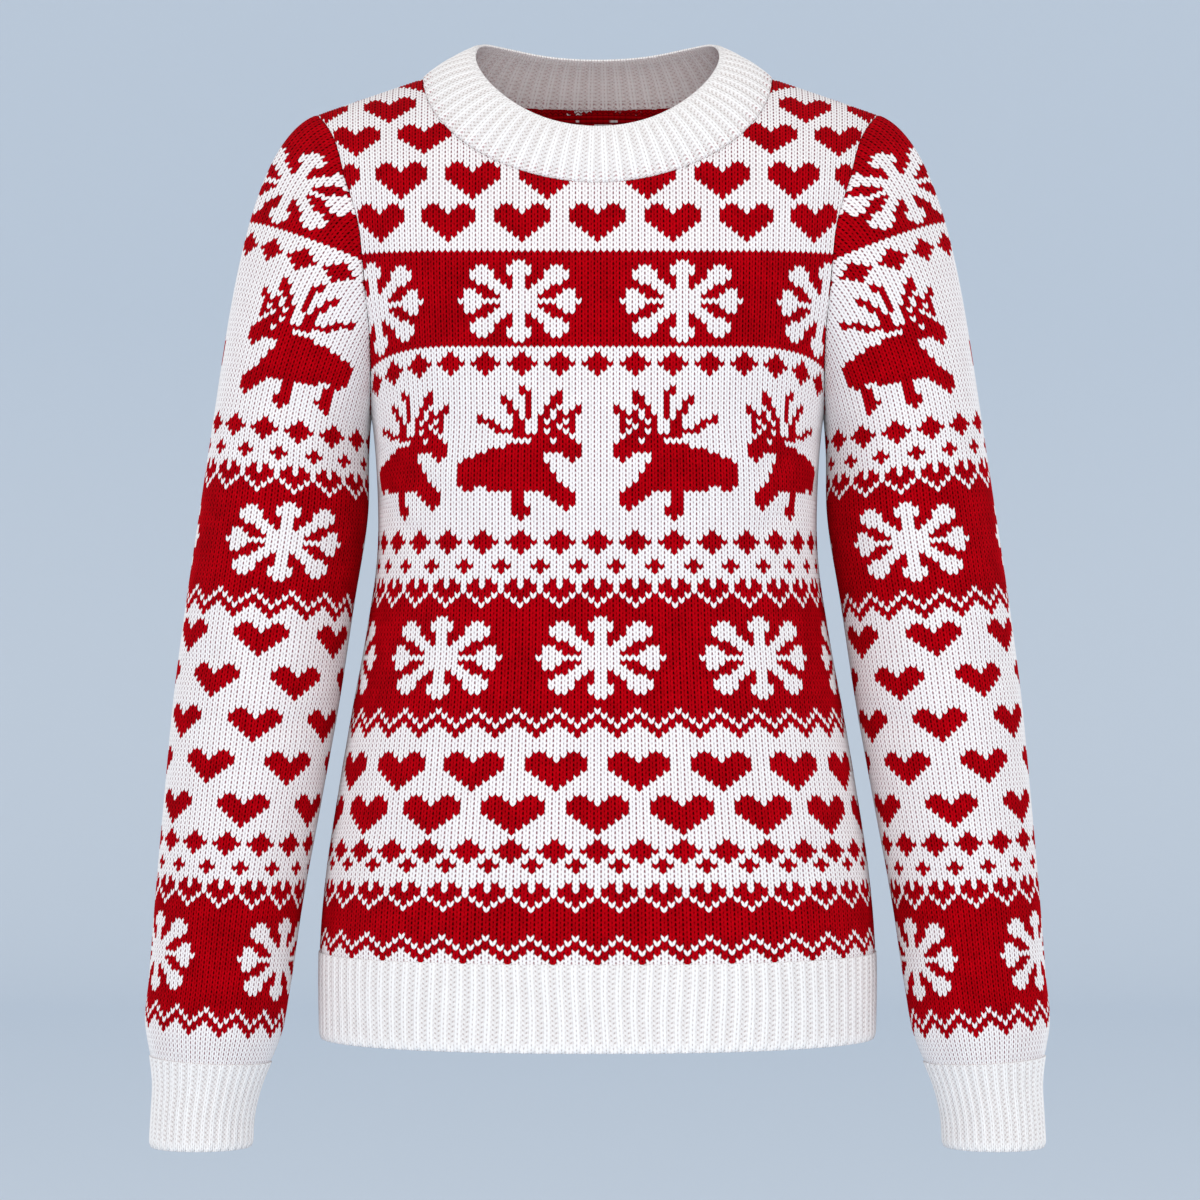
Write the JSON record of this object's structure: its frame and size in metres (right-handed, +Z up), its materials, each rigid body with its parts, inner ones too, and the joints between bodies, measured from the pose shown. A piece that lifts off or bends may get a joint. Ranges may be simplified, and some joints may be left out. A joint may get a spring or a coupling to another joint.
{
  "type": "christmas sweater",
  "caption": "Long-sleeved crew-neck sweater in red and white knitted jacquard with ribbed neckband, hem and cuffs, hollow, held in its worn form.",
  "frame": {"origin": "where the wearer's shoulders hold it up, midway between the two points where the shoulder seams meet the neckband", "axes": "+Z up, front towards -Y, the wearer's left towards +X"},
  "size_m": [0.564, 0.2308, 0.6935],
  "materials": {
    "jacquard_knit": "matt knitted wool blend, red and white",
    "white_rib": "matt knitted rib, white"
  },
  "bodies": {
    "root": {"front_panel": "jacquard_knit", "back_panel": "jacquard_knit", "sleeve_left": "jacquard_knit", "sleeve_right": "jacquard_knit", "neckband": "white_rib", "hem_band_front": "white_rib", "hem_band_back": "white_rib", "cuff_left": "white_rib", "cuff_right": "white_rib"}
  },
  "joints": []
}
